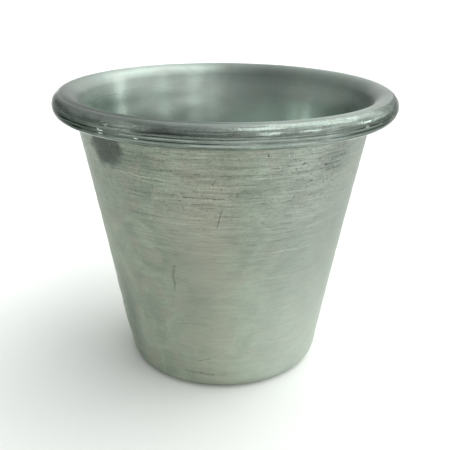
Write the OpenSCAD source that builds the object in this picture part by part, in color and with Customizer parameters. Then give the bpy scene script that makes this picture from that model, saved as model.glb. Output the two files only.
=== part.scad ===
// Candle melting pot: a tapered pot spun from one aluminium disc.
// Its rim is rolled outward over a wire ring into a round bead.
// Millimetres, +Z up, the base stands on z = 0 and the pot's axis is the Z axis.

/* [Pot] */
// Outside diameter over the rim bead
rim_diameter = 150; // [120:1:200]
// Height from the underside of the base to the top of the bead
pot_height = 127; // [90:1:170]
// Diameter where the straight wall line would meet the floor
base_diameter = 90; // [70:1:100]
// Outside radius of the corner between base and wall
base_corner_radius = 6; // [4:0.5:14]
// Thickness of the aluminium sheet
sheet_thickness = 1.6; // [1:0.1:2]
// How far the wall bows inward at half height
wall_bow = 0.5; // [0:0.1:1]

/* [Rim] */
// Diameter of the rolled bead
bead_diameter = 10; // [8:0.5:12]
// Play between the rim wire and the sheet rolled around it
wire_play = 0.15; // [0.1:0.05:0.3]
// Slit left between the rolled edge of the sheet and the pot's wall
edge_slit = 0.2; // [0.1:0.05:0.4]
// Length of the butt gap between the two ends of the rim wire
wire_butt_gap = 1; // [0.5:0.5:3]

/* [Quality] */
// Segments used for a full circle
circle_segments = 180; // [90:30:360]
// Degrees of bend between two points of a rounded stretch of the section
bend_step = 7.5; // [5:0.5:15]

/* [Hidden] */
$fn = circle_segments;

sheet = sheet_thickness;
bead_r = bead_diameter / 2;
corner_r = base_corner_radius;
foot_r = base_diameter / 2;

// Bead centre in the section plane, as [radius, height]
bead = [rim_diameter / 2 - bead_r, pot_height - bead_r];

// The wall line leaves the floor at foot_r and passes inside the bead's circle
bead_lap = 0.57 * sheet;
foot_to_bead = [bead[0] - foot_r, bead[1]];
taper = atan2(foot_to_bead[0], foot_to_bead[1])
      - asin((bead_r - bead_lap) / norm(foot_to_bead));

// Outside of the bowed wall at height z, and how far it leans there
function bow(z) = 4 * wall_bow * (z / bead[1]) * (1 - z / bead[1]);
function wall_r(z) = foot_r + z * tan(taper) - bow(z);
function lean(z) = atan(tan(taper) - 4 * wall_bow / bead[1] * (1 - 2 * z / bead[1]));
function outward(a) = [cos(a), -sin(a)];
function upward(a) = [sin(a), cos(a)];
function wall_point(z, depth) = [wall_r(z), z] - depth * outward(lean(z));

// Base corner
foot_lean = lean(corner_r);
foot_z = corner_r * (1 - sin(foot_lean));
corner = [wall_r(foot_z) - corner_r * cos(foot_lean), corner_r];

// Lip arc: starts on the wall's inner face and runs on into the bead's circle
top_lean = lean(bead[1]);
wall_top = [wall_r(bead[1]), bead[1]];
bead_depth = outward(top_lean) * (bead - wall_top) + sheet;
bead_rise = upward(top_lean) * (bead - wall_top);
lip_r = bead_r + 1.5 * (bead_depth - bead_r);
lip_rise = bead_rise - sqrt(pow(lip_r - bead_r, 2) - pow(lip_r - bead_depth, 2));
lip = wall_top + (lip_r - sheet) * outward(top_lean) + lip_rise * upward(top_lean);
lip_z = (wall_top + lip_rise * upward(top_lean))[1];
lip_end = atan2(bead[1] - lip[1], bead[0] - lip[0]);

// The sheet's edge stops one slit short of the wall
slit_turn = acos((bead_depth - sheet - edge_slit) / bead_r);
edge_end = slit_turn - 180 - top_lean;

// Points along the wall between the base corner and the lip, one face at a time
wall_steps = 12;
wall_heights = [for (i = [1:wall_steps - 1]) foot_z + (lip_z - foot_z) * i / wall_steps];
function wall_up(depth) = [for (z = wall_heights) wall_point(z, depth)];
function wall_down(depth) = [
    for (i = [wall_steps - 2:-1:0]) wall_point(wall_heights[i], depth)];

// Points along an arc from angle a to angle b, without its first point
function arc(centre, radius, a, b) =
    let (steps = ceil(abs(b - a) / bend_step))
    [for (i = [1:steps])
        let (t = a + (b - a) * i / steps)
        centre + radius * [cos(t), sin(t)]];

module section() {
    polygon(concat(
        [[0, 0], [corner[0], 0]],
        arc(corner, corner_r, -90, -foot_lean),
        wall_up(0),
        [lip - (lip_r - sheet) * outward(top_lean)],
        arc(lip, lip_r - sheet, 180 - top_lean, lip_end),
        arc(bead, bead_r - sheet, lip_end, edge_end),
        [bead + bead_r * [cos(edge_end), sin(edge_end)]],
        arc(bead, bead_r, edge_end, lip_end),
        arc(lip, lip_r, lip_end, 180 - top_lean),
        wall_down(sheet),
        [corner + (corner_r - sheet) * outward(foot_lean)],
        arc(corner, corner_r - sheet, -foot_lean, -90),
        [[0, sheet]]));
}

module pot_body() {
    color("Silver")
        rotate_extrude()
            section();
}

module rim_wire() {
    gap_angle = wire_butt_gap / bead[0] * 180 / PI;
    color("LightSteelBlue")
        rotate([0, 0, 90 + gap_angle / 2])
            rotate_extrude(angle = 360 - gap_angle)
                translate(bead)
                    circle(r = bead_r - sheet - wire_play);
}

pot_body();
rim_wire();
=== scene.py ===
"""Looks of the candle melting pot: a spun aluminium shell with a rim rolled over a wire.

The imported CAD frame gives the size. The shell is rebuilt here as a fine lathe mesh with the small
faults of a used pot, and every surface gets a procedural material.
"""
import math

import bpy
import numpy as np
from mathutils import Matrix, Vector


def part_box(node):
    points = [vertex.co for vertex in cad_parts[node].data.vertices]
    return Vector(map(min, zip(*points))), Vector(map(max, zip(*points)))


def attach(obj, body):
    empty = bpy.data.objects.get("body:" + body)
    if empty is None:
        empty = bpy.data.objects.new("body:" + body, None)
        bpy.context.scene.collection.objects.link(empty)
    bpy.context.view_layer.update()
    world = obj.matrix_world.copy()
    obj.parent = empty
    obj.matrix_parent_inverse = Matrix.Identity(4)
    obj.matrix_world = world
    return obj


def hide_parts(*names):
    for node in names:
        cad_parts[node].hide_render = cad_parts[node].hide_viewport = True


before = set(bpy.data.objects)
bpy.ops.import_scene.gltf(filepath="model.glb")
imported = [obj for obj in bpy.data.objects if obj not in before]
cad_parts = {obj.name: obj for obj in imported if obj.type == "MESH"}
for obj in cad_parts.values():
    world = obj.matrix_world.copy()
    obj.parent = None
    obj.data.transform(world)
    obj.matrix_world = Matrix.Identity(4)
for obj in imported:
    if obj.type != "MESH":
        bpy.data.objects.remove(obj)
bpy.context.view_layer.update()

MM = 0.001
TAU = 2 * math.pi

# ---------------------------------------------------------------- section of the pot, in metres
low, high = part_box("pot_body")
RIM_R = high[0]
HEIGHT = high[2]
SHEET = 1.6 * MM
BEAD_R = 5.0 * MM
FOOT_R = 45.0 * MM      # where the straight wall line would meet the floor
CORNER_R = 6.0 * MM
FLAT_R = 0.86 * FOOT_R   # the dents stay outside this flat part of the base
WALL_BOW = 0.5 * MM
EDGE_SLIT = 0.2 * MM
BEAD = np.array([RIM_R - BEAD_R, HEIGHT - BEAD_R])
CROWN_TURN = math.radians(72)   # where the bead's streaky outside meets the satin lip

# ---------------------------------------------------------------- fineness of the lathe mesh
TURNS = 316             # columns round the pot
WALL_STEP = 0.95 * MM   # between rows on the outside of the wall
INSIDE_STEP = 1.6 * MM
BEND_STEP = math.radians(6)  # along a bend
SEED = 153


def outward(a):
    """Direction out of a wall that leans outward by a."""
    return np.array([math.cos(a), -math.sin(a)])


def upward(a):
    """Direction up along a wall that leans outward by a."""
    return np.array([math.sin(a), math.cos(a)])


def polar(a):
    """Direction at an angle from +R toward +Z."""
    return np.array([math.cos(a), math.sin(a)])


bead_lap = 0.57 * SHEET
foot_to_bead = BEAD - np.array([FOOT_R, 0.0])
taper = (math.atan2(foot_to_bead[0], foot_to_bead[1])
         - math.asin((BEAD_R - bead_lap) / np.linalg.norm(foot_to_bead)))


def wall_r(z):
    """Radius of the outside of the bowed wall."""
    u = z / BEAD[1]
    return FOOT_R + z * math.tan(taper) - 4 * WALL_BOW * u * (1 - u)


def lean(z):
    """How far the wall leans outward at a height."""
    return math.atan(math.tan(taper) - 4 * WALL_BOW / BEAD[1] * (1 - 2 * z / BEAD[1]))


class Line:
    """Rows of the section with the normal of each: the shape is [radius, height]."""

    def __init__(self):
        self.points, self.normals, self.parts = [], [], []

    def add(self, point, normal, part):
        """One row, unless it repeats the last."""
        if self.points and np.linalg.norm(point - self.points[-1]) < 1e-7:
            return
        self.points.append(np.array(point, float))
        self.normals.append(np.array(normal, float))
        self.parts.append(part)

    def arc(self, centre, radius, a, b, part, side=1, step=BEND_STEP):
        """Rows along an arc. side is 1 where the metal is inside the arc, and -1 where it is
        outside."""
        n = max(2, math.ceil(abs(b - a) / step))
        for t in np.linspace(a, b, n + 1):
            self.add(centre + radius * polar(t), side * polar(t), part)

    def wall(self, z0, z1, depth, step, part, side):
        """Rows along the wall, at a depth below its outside."""
        n = math.ceil(abs(z1 - z0) / step)
        for z in np.linspace(z0, z1, n + 1)[1:-1]:
            n_out = outward(lean(z))
            self.add(np.array([wall_r(z), z]) - depth * n_out, side * n_out, part)


def pot_section():
    """The sheet's section, from the middle of the underside round to the middle of the inside."""
    foot_lean = lean(CORNER_R)
    foot_z = CORNER_R * (1 - math.sin(foot_lean))
    corner = np.array([wall_r(foot_z) - CORNER_R * math.cos(foot_lean), CORNER_R])

    top_lean = lean(BEAD[1])
    wall_top = np.array([wall_r(BEAD[1]), BEAD[1]])
    out, up = outward(top_lean), upward(top_lean)
    bead_depth = out @ (BEAD - wall_top) + SHEET
    lip_r = BEAD_R + 1.5 * (bead_depth - BEAD_R)
    lip_rise = up @ (BEAD - wall_top) - math.sqrt((lip_r - BEAD_R) ** 2 - (lip_r - bead_depth) ** 2)
    lip = wall_top + (lip_r - SHEET) * out + lip_rise * up
    lip_z = (wall_top + lip_rise * up)[1]
    lip_start = math.pi - top_lean
    lip_end = math.atan2(BEAD[1] - lip[1], BEAD[0] - lip[0])
    edge_end = math.acos((bead_depth - SHEET - EDGE_SLIT) / BEAD_R) - math.pi - top_lean

    line = Line()
    for r in np.linspace(0.0, corner[0], 9)[1:]:
        line.add(np.array([r, 0.0]), (0, -1), "under")
    line.arc(corner, CORNER_R, -math.pi / 2, -foot_lean, "wall")
    line.wall(foot_z, lip_z, 0.0, WALL_STEP, "wall", 1)
    line.arc(lip, lip_r - SHEET, lip_start, lip_end, "curl", -1, 2 * BEND_STEP)
    line.arc(BEAD, BEAD_R - SHEET, lip_end, edge_end, "curl", -1, 3 * BEND_STEP)
    line.arc(BEAD, BEAD_R, edge_end, CROWN_TURN, "bead")
    line.arc(BEAD, BEAD_R, CROWN_TURN, lip_end, "lip")
    line.arc(lip, lip_r, lip_end, lip_start, "lip")
    line.wall(lip_z, foot_z, SHEET, INSIDE_STEP, "inside", -1)
    line.arc(corner, CORNER_R - SHEET, -foot_lean, -math.pi / 2, "inside", -1)
    for r in np.linspace(corner[0], 0.0, 9)[1:-1]:
        line.add(np.array([r, SHEET]), (0, 1), "floor")
    return line


# ---------------------------------------------------------------- small faults of a used pot
def near(x, centre, width):
    """1 at the centre, falling smoothly over the width."""
    return np.exp(-((x - centre) / width) ** 2)


def soft_patch(across, up, crisp):
    """A patch of unit half-width and half-height: the crisper it is, the quicker its edge."""
    return np.exp(-(across * across + up * up) ** crisp)


def turn_gap(turn, degrees):
    """Angle from a direction round the pot, between -pi and pi. 0 degrees is +X, 90 is +Y."""
    return (turn - math.radians(degrees) + math.pi) % TAU - math.pi


# Dents pushed in from outside: direction, height, half-width round, half-height, depth (mm)
DENTS = [
    (197, 7.0, 13.0, 6.0, 0.75),
    (222, 4.0, 9.0, 4.0, 0.25),
    (265, 7.5, 10.0, 2.2, 0.16),
    (286, 11.0, 7.0, 3.0, 0.10),
    (318, 40.0, 12.0, 9.0, 0.12),
    (246, 74.0, 14.0, 16.0, 0.12),
    (35, 52.0, 15.0, 12.0, 0.20),
    (120, 88.0, 11.0, 13.0, 0.18),
    (80, 9.0, 12.0, 4.0, 0.30),
]

# Stains on the outside, and painted shade under the bead and on its ends, given the same way, then
# their strength (a painted highlight if it is negative) and how crisp the edge is
STAINS_AND_PAINTED_LIGHT = [
    # painted shade on the wall under the bead, at the front left
    (-136.5, 112.0, 10.5, 9.0, 0.70, 4),
    (-140.0, 112.0, 6.5, 7.5, 0.20, 3),
    (-123, 113.0, 8.0, 7.0, 0.12, 2),
    (-142, 100.0, 26.0, 20.0, 0.14, 2),
    # painted shade on the ends of the bead
    (-160, 121.2, 36.0, 3.4, 0.58, 3),
    (-120, 121.4, 36.0, 3.4, 0.58, 3),
    (-44, 121.8, 17.0, 3.0, 0.50, 2),
    (-14, 121.8, 26.0, 4.2, 0.40, 2),
    (-63, 125.0, 30.0, 2.4, 0.20, 2),
    # painted highlight on the front left of the bead
    (-119, 124.0, 9.0, 1.2, -2.2, 1.5),
    # painted shade on the wall under the bead, at the front right
    (-46, 107.5, 10.5, 7.5, 0.24, 2),
    (-148, 26.0, 8.0, 26.0, 0.32, 1.5),
    (60, 100.0, 14.0, 9.0, 0.28, 1.5),
    (150, 30.0, 16.0, 10.0, 0.20, 1.5),
]

# Scratches and single turning lines on the wall: direction and height of both ends, width (mm),
# and how dark it is, or how light if negative
STROKES = [
    (-133, 102.5, -122, 102.2, 0.35, -0.22),
    (-124, 102.0, -111, 101.8, 0.40, -0.25),
    (-120, 101.1, -106, 101.0, 0.35, 0.22),
    (-104.5, 95.6, -90, 95.6, 0.42, 0.30),
    (-93, 95.3, -74, 95.5, 0.38, 0.18),
    (-91, 105.2, -71, 105.0, 0.40, 0.20),
    (-99, 98.9, -84, 98.8, 0.30, -0.16),
    (-84, 108.4, -66, 108.2, 0.30, 0.18),
    (-110.9, 63.6, -112.0, 58.8, 0.62, 0.17),
    (-112.2, 58.2, -111.4, 55.2, 0.66, 0.20),
    (-111.5, 55.0, -112.0, 51.6, 0.56, 0.16),
    (-90.4, 90.8, -91.5, 86.8, 0.28, 0.28),
    (-91.5, 86.8, -92.3, 83.0, 0.28, 0.25),
    (-103.5, 15.2, -97.5, 17.0, 0.34, 0.30),
    (-97.5, 17.0, -91.5, 20.0, 0.30, 0.24),
    (-110.5, 8.8, -102.0, 8.5, 0.85, 0.18),
    (-102.0, 8.5, -95.0, 8.2, 1.10, 0.20),
    (-95.0, 8.2, -88.0, 8.4, 0.80, 0.14),
    (-110.0, 35.2, -98.0, 36.0, 0.40, 0.14),
    (-70, 70.5, -58, 70.2, 0.35, -0.14),
    (-51, 110.2, -42, 110.0, 0.55, 0.16),
    (-49, 108.2, -40, 108.1, 0.50, 0.20),
    (-52, 106.0, -43, 105.8, 0.55, 0.18),
    (-50, 103.6, -41, 103.7, 0.50, 0.20),
    (-48, 101.2, -42, 101.3, 0.45, 0.12),
    (28, 84.0, 50, 84.4, 0.40, 0.26),
    (112, 60.0, 109, 49.0, 0.35, 0.30),
    (4, 33.0, 15, 36.5, 0.35, 0.24),
    (-28, 97.0, -12, 97.2, 0.40, 0.24),
    (140, 22.0, 158, 19.0, 0.40, 0.24),
    (62, 47.0, 66, 40.0, 0.30, 0.28),
]

# Fine dark creases and painted highlight lines that run round the outside of the bead: height from
# its middle and half-width (mm), and how dark each is, or how light (a painted highlight) if
# negative
CREASES_AND_HIGHLIGHT_LINES = [
    (1.7, 0.28, -0.22),
    (-0.3, 0.30, 0.30),
    (-0.9, 0.30, -0.36),
    (-1.9, 0.32, 0.40),
    (-2.8, 0.42, -0.45),
    (-3.5, 0.25, 0.25),
    (-4.3, 0.50, -0.50),
]

STAIN_AND_PATCH_RAGGED = 0.9          # how far the outline of each stain and painted patch wanders, in mm
RIM_SHIFT = 0.68 * MM       # the rim sits a little to the right of the wall
RIM_DIP_FRONT = 0.25 * MM   # and dips to the front and the right
RIM_DIP_RIGHT = 0.24 * MM


class Grid:
    """Points of the lathe mesh: rows run along the section, and columns round the pot."""

    def __init__(self, line):
        points = np.array(line.points)
        self.normals = np.array(line.normals)
        self.parts = np.array(line.parts)
        steps = np.linalg.norm(np.diff(points, axis=0), axis=1)
        self.along = np.concatenate([[0], np.cumsum(steps)])[:, None]
        self.r, self.z = points[:, :1], points[:, 1:]
        self.turn = (np.arange(TURNS) / TURNS * TAU)[None, :]
        self.on_wall = (self.parts == "wall")[:, None]
        self.on_bead = (self.parts == "bead")[:, None]
        self.inside = np.isin(self.parts, ("inside", "floor", "lip"))[:, None]

    def ripple(self, rng, count, waves, lengths):
        """Smooth seeded relief of about unit height: waves is the range of whole waves round the
        pot, and lengths the range of wavelengths along the section, in metres."""
        relief = np.zeros(np.broadcast(self.turn, self.along).shape)
        for _ in range(count):
            m = rng.integers(waves[0], waves[1] + 1)
            k = TAU / rng.uniform(*lengths) * rng.choice([-1, 1])
            relief += np.cos(m * self.turn + k * self.along + rng.uniform(0, TAU))
        return relief / math.sqrt(count / 2)

    def across(self, degrees):
        """How far each point is round the pot from a direction, in mm."""
        return turn_gap(self.turn, degrees) * self.r / MM


def fine_relief(rng, grid):
    """Relief of the faces, in mm: turning ridges on the wall, and a hand-rolled unevenness on the
    bead."""
    ridges = 0.010 * grid.ripple(rng, 10, (0, 2), (1.9 * MM, 5 * MM))
    hammer = 0.014 * grid.ripple(rng, 26, (14, 60), (3 * MM, 14 * MM))
    swell = 0.035 * grid.ripple(rng, 12, (4, 14), (6 * MM, 30 * MM))
    bead_swell = 0.04 * grid.ripple(rng, 10, (3, 11), (12 * MM, 40 * MM))
    fine = 0.006 * grid.ripple(rng, 20, (8, 40), (2.5 * MM, 9 * MM))
    outer_bead = grid.on_bead * np.clip((grid.r - BEAD[0] - 1 * MM) / (2.5 * MM), 0, 1)
    return (grid.on_wall * (ridges + swell + fine)
            + outer_bead * (hammer + bead_swell)
            + grid.inside * (0.3 * ridges + 0.35 * swell))


def whole_form(grid):
    """How far the whole sheet is pushed out, in mm: an off-round wall, and dents that show on both
    faces. The flat of the base stays flat."""
    off_round = 0.16 * np.cos(2 * grid.turn + 0.7) + 0.07 * np.cos(3 * grid.turn + 2.1)
    form = off_round * (grid.z / HEIGHT)
    for degrees, at, half_width, half_height, depth in DENTS:
        form = form - (depth * near(grid.across(degrees), 0, half_width)
                       * near(grid.z / MM, at, half_height))
    past_flat = np.clip((grid.r - FLAT_R) / (4 * MM), 0, 1)
    return form * np.where(grid.z < CORNER_R, past_flat, 1.0)


def stains_and_painted_light(rng, grid):
    """Strength of the stains, painted shade and painted highlight at each point of the outside,
    with ragged outlines.
    """
    outside = grid.on_wall | grid.on_bead
    ragged = STAIN_AND_PATCH_RAGGED * grid.ripple(rng, 14, (12, 50), (5 * MM, 16 * MM)) * outside
    stain_and_painted_light = np.zeros_like(ragged)
    for degrees, at, half_width, half_height, strength, crisp in STAINS_AND_PAINTED_LIGHT:
        across = grid.across(degrees) + ragged
        up = grid.z / MM - at + 0.5 * ragged * grid.on_wall
        stain_and_painted_light = stain_and_painted_light + strength * soft_patch(across / half_width, up / half_height, crisp)
    return stain_and_painted_light * outside


def lathe(grid):
    """Turns the section into the mesh's points, with the faults pressed in, and its stains and
    painted light.
    """
    rng = np.random.default_rng(SEED)
    fade = np.clip(grid.r / (12 * MM), 0, 1)    # the middle of the base has no faults
    relief = fine_relief(rng, grid) * MM * fade
    radial = grid.r + relief * grid.normals[:, :1] + whole_form(grid) * MM * fade
    height = grid.z + relief * grid.normals[:, 1:]

    # The rim sits a little off the wall
    rim = np.clip((grid.z / HEIGHT - 0.86) / 0.1, 0, 1)
    rim = rim * rim * (3 - 2 * rim)
    x = radial * np.cos(grid.turn) + rim * RIM_SHIFT
    y = radial * np.sin(grid.turn)
    height = height + rim * (RIM_DIP_FRONT * y / RIM_R - RIM_DIP_RIGHT * x / RIM_R)
    return np.stack([x, y, height], axis=2), stains_and_painted_light(rng, grid)


def pot_mesh():
    """The closed mesh of the sheet, with a material on each face and the stains and painted light
    on each point.
    """
    grid = Grid(pot_section())
    points, stain_and_painted_light = lathe(grid)
    rows = len(grid.parts)
    verts = np.vstack([points.reshape(-1, 3), [[0, 0, 0], [0, 0, SHEET]]])

    i = np.arange(rows - 1)[:, None] * TURNS
    j = np.arange(TURNS)[None, :]
    k = (j + 1) % TURNS
    quads = np.stack([i + j, i + k, i + k + TURNS, i + j + TURNS], axis=2).reshape(-1, 4)
    faces = quads.tolist()
    under, inside = rows * TURNS, rows * TURNS + 1      # the middle points of the two caps
    last = (rows - 1) * TURNS
    for a in range(TURNS):
        b = (a + 1) % TURNS
        faces.append((under, b, a))
        faces.append((inside, last + a, last + b))

    mesh = bpy.data.meshes.new("pot_shell")
    mesh.from_pydata(verts.tolist(), [], faces)
    mesh.update()
    mesh.polygons.foreach_set("use_smooth", [True] * len(mesh.polygons))
    kinds = [next(k for k, face in enumerate(FACES) if part in face.parts) for part in grid.parts]
    per_quad = np.repeat(np.maximum(kinds[:-1], kinds[1:]), TURNS)
    caps = np.tile([kinds[0], kinds[-1]], TURNS)
    mesh.polygons.foreach_set("material_index", np.concatenate([per_quad, caps]).astype(int))
    layer = mesh.attributes.new("stain_and_painted_light", "FLOAT", "POINT")
    layer.data.foreach_set("value", np.append(stain_and_painted_light.ravel(), [0.0, 0.0]))
    return mesh


# ---------------------------------------------------------------- materials
class Nodes:
    """Short calls for building a node tree."""

    def __init__(self, material):
        material.use_nodes = True
        self.tree = material.node_tree
        self.tree.nodes.clear()

    def new(self, kind, **settings):
        node = self.tree.nodes.new(kind)
        for name, value in settings.items():
            setattr(node, name, value)
        return node

    def link(self, source, target):
        self.tree.links.new(source, target)

    def feed(self, socket, value):
        """Links a socket, or sets it if the value is a constant."""
        if isinstance(value, bpy.types.NodeSocket):
            self.link(value, socket)
        elif value is not None:
            socket.default_value = value

    def math(self, operation, a, b=None, clamp=False):
        node = self.new("ShaderNodeMath", operation=operation, use_clamp=clamp)
        self.feed(node.inputs[0], a)
        self.feed(node.inputs[1], b)
        return node.outputs[0]

    def plus(self, a, b):
        return self.math("ADD", a, b)

    def minus(self, a, b):
        return self.math("SUBTRACT", a, b)

    def times(self, a, b, clamp=False):
        return self.math("MULTIPLY", a, b, clamp)

    def vector(self, operation, a, b=None):
        node = self.new("ShaderNodeVectorMath", operation=operation)
        self.feed(node.inputs[0], a)
        self.feed(node.inputs["Scale" if operation == "SCALE" else 1], b)
        return node.outputs["Value" if operation in ("LENGTH", "DOT_PRODUCT") else "Vector"]

    def combine(self, x, y, z):
        node = self.new("ShaderNodeCombineXYZ")
        for socket, value in zip(node.inputs, (x, y, z)):
            self.feed(socket, value)
        return node.outputs[0]

    def ramp(self, value, low, high, to_low=0.0, to_high=1.0):
        """Smooth step of a value from one range to another."""
        node = self.new("ShaderNodeMapRange", interpolation_type="SMOOTHSTEP")
        for socket, number in zip(node.inputs, (value, low, high, to_low, to_high)):
            self.feed(socket, number)
        return node.outputs[0]

    def noise(self, vector, scale, detail=3.0, roughness=0.55, distortion=0.0):
        node = self.new("ShaderNodeTexNoise")
        self.feed(node.inputs["Vector"], vector)
        for name, number in (("Scale", scale), ("Detail", detail), ("Roughness", roughness),
                             ("Distortion", distortion)):
            node.inputs[name].default_value = number
        return node.outputs["Fac"]

    def mix(self, share, a, b):
        """A colour between a and b."""
        node = self.new("ShaderNodeMix", data_type="RGBA")
        self.feed(node.inputs["Factor"], share)
        self.feed(node.inputs[6], a)
        self.feed(node.inputs[7], b)
        return node.outputs[2]

    def blend(self, share, a, b):
        """A number between a and b."""
        node = self.new("ShaderNodeMix", data_type="FLOAT")
        self.feed(node.inputs["Factor"], share)
        self.feed(node.inputs[2], a)
        self.feed(node.inputs[3], b)
        return node.outputs[0]

    def bump(self, height, distance, strength, normal=None):
        node = self.new("ShaderNodeBump")
        self.feed(node.inputs["Height"], height)
        self.feed(node.inputs["Distance"], distance)
        self.feed(node.inputs["Strength"], strength)
        if normal is not None:
            self.link(normal, node.inputs["Normal"])
        return node.outputs["Normal"]

    def metal(self):
        shader = self.new("ShaderNodeBsdfPrincipled")
        shader.inputs["Metallic"].default_value = 1.0
        return shader

    def surface(self, shader):
        """Makes the shader the material's surface."""
        self.link(shader.outputs[0], self.new("ShaderNodeOutputMaterial").inputs["Surface"])


def rgb(r, g, b):
    return (r, g, b, 1.0)


class Face:
    """Look of one face of the sheet: colours are linear, lengths are in metres."""

    def __init__(self, name, parts, deep, pale, tint, rough, grain, low_grain, pits, uneven, brush,
                 line, edge):
        self.name, self.parts = name, parts
        self.deep, self.pale = deep, pale   # blotchy base colour
        self.tint = tint            # and a tint over it
        self.rough = rough          # smoothest and roughest
        self.grain = grain          # contrast of the turning lines near the rim
        self.low_grain = low_grain  # and near the base
        self.pits = pits            # share of dark pits and light specks
        self.uneven = uneven        # height of the soft unevenness
        self.brush = brush          # anisotropy
        self.line = line            # width of the long turning lines
        self.edge = edge            # how bright a glancing reflection is


FACES = (
    Face("turned_wall", ("wall", "under", "curl"), deep=rgb(0.250, 0.290, 0.237),
         pale=rgb(0.325, 0.370, 0.304), tint=rgb(0.319, 0.318, 0.264), rough=(0.40, 0.52),
         grain=0.76, low_grain=0.18, pits=0.8, uneven=0.05 * MM, brush=0.5, line=1.3 * MM,
         edge=0.9),
    Face("rolled_bead", ("bead",), deep=rgb(0.225, 0.262, 0.243),
         pale=rgb(0.31, 0.357, 0.329), tint=rgb(0.22, 0.25, 0.22), rough=(0.07, 0.14),
         grain=0.8, low_grain=0.8, pits=0.3, uneven=0.10 * MM, brush=0.1, line=0.7 * MM,
         edge=0.42),
    Face("satin_inside", ("inside", "floor", "lip"), deep=rgb(0.51, 0.60, 0.555),
         pale=rgb(0.57, 0.66, 0.61), tint=rgb(0.55, 0.60, 0.55), rough=(0.14, 0.18),
         grain=0.03, low_grain=0.30, pits=0.0, uneven=0.01 * MM, brush=0.88, line=0.9 * MM,
         edge=1.0),
)

# tint of the stains and of the painted shade under and on the bead
STAIN_AND_SHADE_TONE = rgb(0.250, 0.305, 0.265)
BEAD_TOP_TONE = rgb(0.245, 0.276, 0.260)
WARM_TONE = rgb(0.325, 0.336, 0.279)    # at the front left of the wall
RIGHT_SIDE_PAINTED_LIGHT_TONE = rgb(0.362, 0.397, 0.362)    # painted light: lighter toward the brighter right of the wall, with a more neutral hue

# Where each noise begins to show and where it is full
BLOTCH = (0.39, 0.63)
SPECK = (0.60, 0.70)
PALE_SPECK = (0.62, 0.74)
CUT = (0.64, 0.71)


def bead_z(rise):
    """Height that many mm above the middle of the bead."""
    return BEAD[1] + rise * MM


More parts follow.
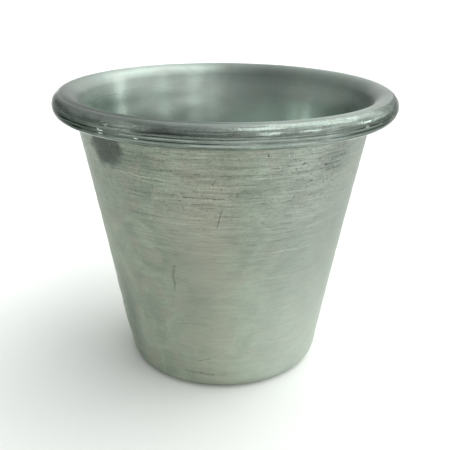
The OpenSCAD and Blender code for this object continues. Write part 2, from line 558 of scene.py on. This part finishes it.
class Sheet:
    """Spun aluminium with turning lines round the pot, blotches, pits and soft unevenness.

    One material, for one face of the sheet. Its places and noises are made once here, and its
    colour, roughness and relief read them. round_x is -1 at the left of the pot and 1 at the
    right, and round_y is -1 at the front and 1 at the back. The wall's material is close to the
    renderer's limit on nodes, past which it renders black without a message.
    """

    def __init__(self, face):
        self.face = face
        self.material = bpy.data.materials.new(face.name)
        self.n = n = Nodes(self.material)
        self.place = place = n.new("ShaderNodeTexCoord").outputs["Object"]
        split = n.new("ShaderNodeSeparateXYZ")
        n.link(place, split.inputs[0])
        self.x, self.y, self.z = x, y, z = split.outputs
        self.radius = n.math("MAXIMUM", n.math("SQRT", n.plus(n.times(x, x), n.times(y, y))),
                             1 * MM)
        self.round_x = n.math("DIVIDE", x, self.radius)
        self.round_y = n.math("DIVIDE", y, self.radius)

        self.stain_and_painted_light = n.new("ShaderNodeAttribute", attribute_name="stain_and_painted_light").outputs["Fac"]
        self.fine_lines = self.turning(0.45 * MM, 8 * MM)
        self.long_lines = self.turning(face.line, 34 * MM)
        self.cuts = self.turning(0.45 * MM, 7 * MM, 1.0)
        self.blotch = n.noise(place, 60, 6.0, 0.7, 0.5)
        self.patch = n.noise(place, 24, 3.0, 0.5)
        self.hue = n.noise(place, 110, 3.0, 0.55)
        self.speck = n.noise(place, 800, 2.0, 0.6)
        self.pale_speck = n.noise(n.vector("ADD", place, (0.3, 0.2, 0.1)), 650, 2.0, 0.6)
        self.tooth = n.noise(place, 1700, 1.0, 0.5)

        # How much the turning lines show, and the pits and specks
        self.grain = n.blend(n.ramp(z, 50 * MM, 114 * MM), face.low_grain, face.grain)
        if self.covers("wall"):
            worn = n.ramp(n.times(self.round_y, self.round_y), 0.42, 0.72, 0.40, 1.0)
            self.grain = n.times(self.grain, worn)
        if self.covers("bead"):
            self.outer = n.ramp(self.radius, BEAD[0] + 1.3 * MM, BEAD[0] + 3.5 * MM)
            self.grain = n.times(self.grain, self.outer)
        self.pitted = n.times(n.ramp(z, 72 * MM, 118 * MM), face.pits)
        self.pitted = n.times(self.pitted, n.ramp(self.patch, 0.40, 0.60, 0.35, 1.0))

    def covers(self, part):
        return part in self.face.parts

    def turning(self, width, length, detail=2.0):
        """Noise drawn out round the pot: about width across the lines and length along them."""
        n = self.n
        around = RIM_R / length
        noise = n.new("ShaderNodeTexNoise", noise_dimensions="4D")
        n.link(n.combine(n.times(self.round_x, around), n.times(self.round_y, around),
                         n.times(self.radius, 1 / width)), noise.inputs["Vector"])
        n.link(n.times(self.z, 1 / width), noise.inputs["W"])
        noise.inputs["Scale"].default_value = 1.0
        noise.inputs["Detail"].default_value = detail
        noise.inputs["Roughness"].default_value = 0.6
        return noise.outputs["Fac"]

    def tone(self):
        """Base colour, before the shade is laid over it."""
        n, face = self.n, self.face
        tone = n.mix(n.ramp(self.blotch, *BLOTCH), face.deep, face.pale)
        tone = n.mix(n.times(n.ramp(self.hue, 0.46, 0.62), 0.6), tone, face.tint)
        if self.covers("bead"):
            tone = n.mix(self.outer, BEAD_TOP_TONE, tone)
        # stains and painted shade take a darker tint
        tone = n.mix(n.times(self.stain_and_painted_light, 0.9, True), tone, STAIN_AND_SHADE_TONE)
        if self.covers("wall"):
            warm = n.times(n.ramp(self.round_x, -0.50, -0.16), n.ramp(self.round_x, 0.20, -0.06))
            warm = n.times(warm, n.ramp(self.round_y, -0.5, -0.8))
            warm = n.times(warm, n.ramp(self.patch, 0.34, 0.58, 0.25, 0.9))
            tone = n.mix(warm, tone, WARM_TONE)
            # painted light: the wall lighter and more neutral toward its right
            tone = n.mix(n.ramp(self.round_x, -0.02, 0.60, 0.0, 0.7), tone, RIGHT_SIDE_PAINTED_LIGHT_TONE)
        return tone

    def shade(self):
        """Multiplies the tone: turning lines, pits, specks, stains, wear and scratches, and painted
        light: painted shade and highlights on and under the bead, a wall painted lighter toward the
        base, and painted shade inside.
        """
        n = self.n
        lines = n.plus(n.minus(self.fine_lines, 0.5), n.times(n.minus(self.long_lines, 0.5), 0.7))
        lines = n.minus(lines, n.ramp(self.cuts, *CUT, 0.0, 0.34))
        lines = n.plus(lines, n.times(n.minus(self.tooth, 0.5), 0.4))
        shade = n.plus(1.0, n.times(lines, n.times(self.grain, 1.5)))
        shade = n.minus(shade, n.times(n.ramp(self.speck, *SPECK), self.pitted))
        shade = n.plus(shade, n.times(n.ramp(self.pale_speck, *PALE_SPECK, 0.0, 0.6), self.pitted))
        # stains and painted shade darken the tone, and a negative strength is a painted highlight
        # that lightens it
        stain_and_light_factor = n.math("MINIMUM", n.times(self.stain_and_painted_light, 0.8), 0.70)
        shade = n.times(shade, n.minus(1.0, stain_and_light_factor))
        if self.covers("bead"):
            shade = self.bead_shade(shade)
        if self.covers("wall"):
            # painted light: the wall lighter toward the base
            shade = n.times(shade, n.ramp(self.z, 0.0, 85 * MM, 1.36, 0.96))
            shade = n.minus(shade, n.times(self.marks(), 1.5))
        if self.covers("inside"):
            shade = self.inside_shade(shade)
        return shade

    def bead_shade(self, shade):
        """Painted glints toward the bead's ends, a painted lighter underside, painted shade below
        the top, and dark creases with painted highlight lines.
        """
        n, z = self.n, self.z
        # painted highlight: bright glints toward both ends of the bead
        glint_ends = n.math("MAXIMUM", n.ramp(self.round_x, 0.60, 0.74),
                           n.times(n.ramp(self.round_x, -0.34, -0.42),
                                   n.ramp(self.round_x, -0.68, -0.58)))
        painted_glints = n.times(n.ramp(self.turning(0.7 * MM, 5 * MM, 1.0), 0.66, 0.70),
                         n.times(n.ramp(z, bead_z(-3.5), bead_z(-2.0)),
                                 n.ramp(z, bead_z(3.2), bead_z(1.8))))
        shade = n.plus(shade, n.times(n.times(painted_glints, glint_ends), 2.6))
        # painted light: the underside of the bead lighter, most on the left
        shade = n.times(shade, n.ramp(z, bead_z(-4.4), bead_z(-1.6),
                                      n.ramp(self.round_x, -0.1, 0.5, 2.0, 1.5), 1.0))
        # painted shade: a little darker below the top of the bead
        painted_shade_below_top = n.ramp(z, bead_z(3.5), bead_z(0.5), 0.0, 0.12)
        shade = n.times(shade, n.minus(1.0, painted_shade_below_top))
        wander = n.plus(z, n.times(n.minus(self.patch, 0.5), 0.9 * MM))
        broken = n.ramp(self.turning(1.2 * MM, 16 * MM), 0.40, 0.54, 0.0, 1.2)
        # dark creases, and painted highlight lines where dark is negative
        for rise, width, dark in CREASES_AND_HIGHLIGHT_LINES:
            gap = n.math("ABSOLUTE", n.minus(wander, bead_z(rise)))
            crease_and_highlight = n.times(n.ramp(gap, width * MM, 0.2 * width * MM), broken)
            shade = n.minus(shade, n.times(crease_and_highlight, dark))
        return shade

    def inside_shade(self, shade):
        """Painted shade: darker low down and under the lip, most at the front of the lip, and
        darker at the middle and right of the back.
        """
        n, z = self.n, self.z
        # painted shade: darker low down inside and toward the lip, most at the front
        shade = n.times(shade, n.ramp(z, 55 * MM, 110 * MM, 0.50, 0.95))
        shade = n.times(shade, n.ramp(z, HEIGHT - 13 * MM, HEIGHT - 1 * MM, 1.0,
                                      n.ramp(self.round_y, 0.0, 0.8, 0.45, 0.64)))
        # painted shade at the middle and right of the back
        shaded_back = n.times(n.ramp(self.round_x, -0.12, 0.06), n.ramp(self.round_x, 0.66, 0.40))
        shaded_back = n.times(shaded_back, n.ramp(self.round_y, 0.1, 0.5, 0.0, 0.22))
        shaded_back = n.times(shaded_back, n.ramp(z, 10 * MM, 80 * MM))
        return n.times(shade, n.minus(1.0, shaded_back))

    def marks(self):
        """Darkness of the scratches, drawn on the wall as if it were unrolled."""
        n = self.n
        wobble = n.times(n.minus(n.noise(self.place, 500, 2.0), 0.5), 1.2 * MM)
        unrolled = n.combine(n.times(n.math("ARCTAN2", self.y, self.x), FOOT_R),
                             n.plus(self.z, wobble), 0.0)
        marks = None
        for turn_0, z_0, turn_1, z_1, width, dark in STROKES:
            line = self.stroke(unrolled, (math.radians(turn_0) * FOOT_R, z_0 * MM, 0),
                               (math.radians(turn_1) * FOOT_R, z_1 * MM, 0), width * MM, dark)
            marks = line if marks is None else n.plus(marks, line)
        return n.times(marks, n.ramp(self.hue, 0.30, 0.50, 0.45, 1.0))

    def stroke(self, spot, start, end, width, dark):
        """Thin line from start to end on the unrolled wall, where spot is the point."""
        n = self.n
        start, end = Vector(start), Vector(end)
        run = end - start
        away = n.vector("SUBTRACT", spot, tuple(start))
        share = n.times(n.vector("DOT_PRODUCT", away, tuple(run)), 1 / run.length_squared, True)
        gap = n.vector("LENGTH", n.vector("SUBTRACT", away,
                                          n.vector("SCALE", tuple(run), share)))
        return n.ramp(gap, width, 0.15 * width, 0.0, dark)

    def roughness(self):
        """Patchy, with rough specks. Inside, the lip and the front are rougher."""
        n = self.n
        smooth, rough = self.face.rough
        roughness = n.blend(n.ramp(self.patch, 0.35, 0.68), rough, smooth)
        roughness = n.plus(roughness, n.times(n.minus(self.speck, 0.5), 0.18 * self.face.pits))
        if self.covers("inside"):
            lip = n.ramp(self.z, HEIGHT - 15 * MM, HEIGHT - 4 * MM, 0.0, 0.20)
            scraped = n.times(n.ramp(self.round_y, 0.40, -0.20, 0.0, 0.35),
                              n.ramp(self.z, 10 * MM, 60 * MM))
            roughness = n.plus(roughness, n.math("MAXIMUM", lip, scraped))
        return roughness

    def relief(self):
        """Normal of the soft unevenness, the turning lines, and the pits and cuts."""
        n = self.n
        normal = n.bump(n.noise(self.place, 240, 3.0, 0.55), self.face.uneven, 1.0)
        normal = n.bump(n.plus(self.fine_lines, n.times(self.long_lines, 1.5)), 0.04 * MM,
                        self.grain, normal)
        return n.bump(n.plus(n.ramp(self.speck, *SPECK), n.ramp(self.cuts, *CUT)), -0.03 * MM,
                      self.pitted, normal)

    def glancing(self, socket):
        """Sets how bright the reflection is at a glancing angle. On the bead, only the side is
        dark."""
        n, edge = self.n, self.face.edge
        if self.covers("bead"):
            side = n.times(self.outer, n.ramp(self.z, bead_z(-4.6), bead_z(-3.4)))
            edge = n.blend(side, 1.0, edge)
            n.link(n.combine(edge, edge, edge), socket)
        else:
            socket.default_value = rgb(edge, edge, edge)


def aluminium_sheet(face):
    """The material of one face of the sheet."""
    sheet = Sheet(face)
    n = sheet.n
    tone, shade = sheet.tone(), sheet.shade()
    tone = n.vector("MULTIPLY", tone, n.combine(shade, shade, shade))
    roughness, normal = sheet.roughness(), sheet.relief()
    shader = n.metal()
    shader.inputs["Anisotropic"].default_value = face.brush
    shader.inputs["Anisotropic Rotation"].default_value = 0.25
    sheet.glancing(shader.inputs["Specular Tint"])
    n.link(tone, shader.inputs["Base Color"])
    n.link(roughness, shader.inputs["Roughness"])
    n.link(normal, shader.inputs["Normal"])
    n.link(n.new("ShaderNodeTangent", direction_type="RADIAL", axis="Z").outputs[0],
           shader.inputs["Tangent"])
    n.surface(shader)
    return sheet.material


def aluminium_wire():
    """Drawn wire: fine streaks along its length."""
    material = bpy.data.materials.new("drawn_wire")
    n = Nodes(material)
    place = n.new("ShaderNodeTexCoord").outputs["Object"]
    streak = n.noise(place, 900, 3.0, 0.6)
    shader = n.metal()
    n.link(n.mix(n.ramp(streak, 0.35, 0.7), rgb(0.50, 0.52, 0.50), rgb(0.66, 0.67, 0.65)),
           shader.inputs["Base Color"])
    n.link(n.blend(streak, 0.28, 0.45), shader.inputs["Roughness"])
    n.link(n.bump(streak, 0.03 * MM, 0.5), shader.inputs["Normal"])
    n.surface(shader)
    return material


def pale_floor():
    """Matt studio floor, almost even."""
    material = bpy.data.materials.new("pale_floor")
    n = Nodes(material)
    place = n.new("ShaderNodeTexCoord").outputs["Object"]
    shader = n.new("ShaderNodeBsdfPrincipled")
    shader.inputs["Roughness"].default_value = 0.9
    shader.inputs["Specular IOR Level"].default_value = 0.1
    n.link(n.mix(n.noise(place, 3.0), rgb(0.91, 0.92, 0.91), rgb(0.93, 0.94, 0.93)),
           shader.inputs["Base Color"])
    n.surface(shader)
    return material


# ---------------------------------------------------------------- the object
pot = bpy.data.objects.new("pot_shell", pot_mesh())
bpy.context.collection.objects.link(pot)
for face in FACES:
    pot.data.materials.append(aluminium_sheet(face))
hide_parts("pot_body")
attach(pot, "root")

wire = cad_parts["rim_wire"]
wire.data.materials.clear()
wire.data.materials.append(aluminium_wire())

# ---------------------------------------------------------------- floor, light and camera
FLOOR_HALF = 40.0           # metres
FLOOR_GAP = 0.05 * MM       # under the base, so that the two faces don't fight
floor_mesh = bpy.data.meshes.new("floor")
floor_mesh.from_pydata([(-FLOOR_HALF, -FLOOR_HALF, 0), (FLOOR_HALF, -FLOOR_HALF, 0),
                        (FLOOR_HALF, FLOOR_HALF, 0), (-FLOOR_HALF, FLOOR_HALF, 0)],
                       [], [(0, 1, 2, 3)])
floor = bpy.data.objects.new("floor", floor_mesh)
bpy.context.collection.objects.link(floor)
floor.data.materials.append(pale_floor())
floor.location.z = -FLOOR_GAP

# The camera, from a fit of the pot's outline in the photograph
CAMERA_ELEVATION = math.radians(21.13)
CAMERA_ROLL = math.radians(0.37)
CAMERA_DISTANCE = 321.8 * MM                    # from the middle of the pot
CAMERA_AIM = Vector((0.86, 0, -2.26)) * MM      # off the middle of the pot
LENS, SENSOR = 54.13, 36.0                      # focal length and sensor width, mm

# Soft windows of the studio: direction round the pot and elevation, where the light is full and
# where it ends (degrees from its middle), and its strength
WINDOWS = [
    (32, 56, 12, 26, 1.3),
    (-32, 24, 4, 8, 2.2),
    (-62, 26, 4, 8, 2.4),
    (-40, 71, 8, 15, 1.8),
    (11, 14, 3, 6, 6.0),
    (0, 0, 15, 50, 0.35),
]


def studio_world():
    """Soft light from all round, brightest overhead, at the back and to the right. The windows add
    to it, and near the horizon it is an even white, for the background."""
    world = bpy.data.worlds.new("studio")
    bpy.context.scene.world = world
    n = Nodes(world)
    direction = n.new("ShaderNodeTexCoord").outputs["Generated"]
    split = n.new("ShaderNodeSeparateXYZ")
    n.link(direction, split.inputs[0])
    x, y, z = split.outputs
    level = n.ramp(z, 0.0, 0.9, 0.78, 1.20)
    level = n.math("MULTIPLY", level, n.ramp(x, -0.6, 0.6, 0.48, 1.65))
    level = n.math("MULTIPLY", level, n.ramp(y, -0.9, 0.9, 0.68, 1.12))
    for turn, rise, full, end, strength in WINDOWS:
        turn, rise = math.radians(turn), math.radians(rise)
        aim = (math.cos(rise) * math.cos(turn), math.cos(rise) * math.sin(turn), math.sin(rise))
        light = n.ramp(n.vector("DOT_PRODUCT", direction, aim),
                       math.cos(math.radians(end)), math.cos(math.radians(full)), 0.0, strength)
        level = n.math("ADD", level, light)
    level = n.blend(n.ramp(z, 0.03, 0.14), 1.0, level)
    background = n.new("ShaderNodeBackground")
    background.inputs["Color"].default_value = rgb(0.98, 1.0, 0.98)
    n.link(level, background.inputs["Strength"])
    n.link(background.outputs[0], n.new("ShaderNodeOutputWorld").inputs["Surface"])


def photo_camera():
    """Camera at the photograph's viewing angle."""
    middle = Vector((0, 0, HEIGHT / 2))
    back = Vector((0, -math.cos(CAMERA_ELEVATION), math.sin(CAMERA_ELEVATION)))
    place = middle + back * CAMERA_DISTANCE
    forward = (middle + CAMERA_AIM - place).normalized()
    right = forward.cross(Vector((0, 0, 1))).normalized()
    up = right.cross(forward)
    cos, sin = math.cos(CAMERA_ROLL), math.sin(CAMERA_ROLL)
    right, up = cos * right + sin * up, cos * up - sin * right
    data = bpy.data.cameras.new("camera")
    data.sensor_width = SENSOR
    data.lens = LENS
    data.clip_start = 0.01
    camera = bpy.data.objects.new("camera", data)
    camera.matrix_world = Matrix((
        (right.x, up.x, -forward.x, place.x),
        (right.y, up.y, -forward.y, place.y),
        (right.z, up.z, -forward.z, place.z),
        (0, 0, 0, 1)))
    bpy.context.collection.objects.link(camera)
    bpy.context.scene.camera = camera


studio_world()
photo_camera()
bpy.context.scene.view_settings.view_transform = "Standard"
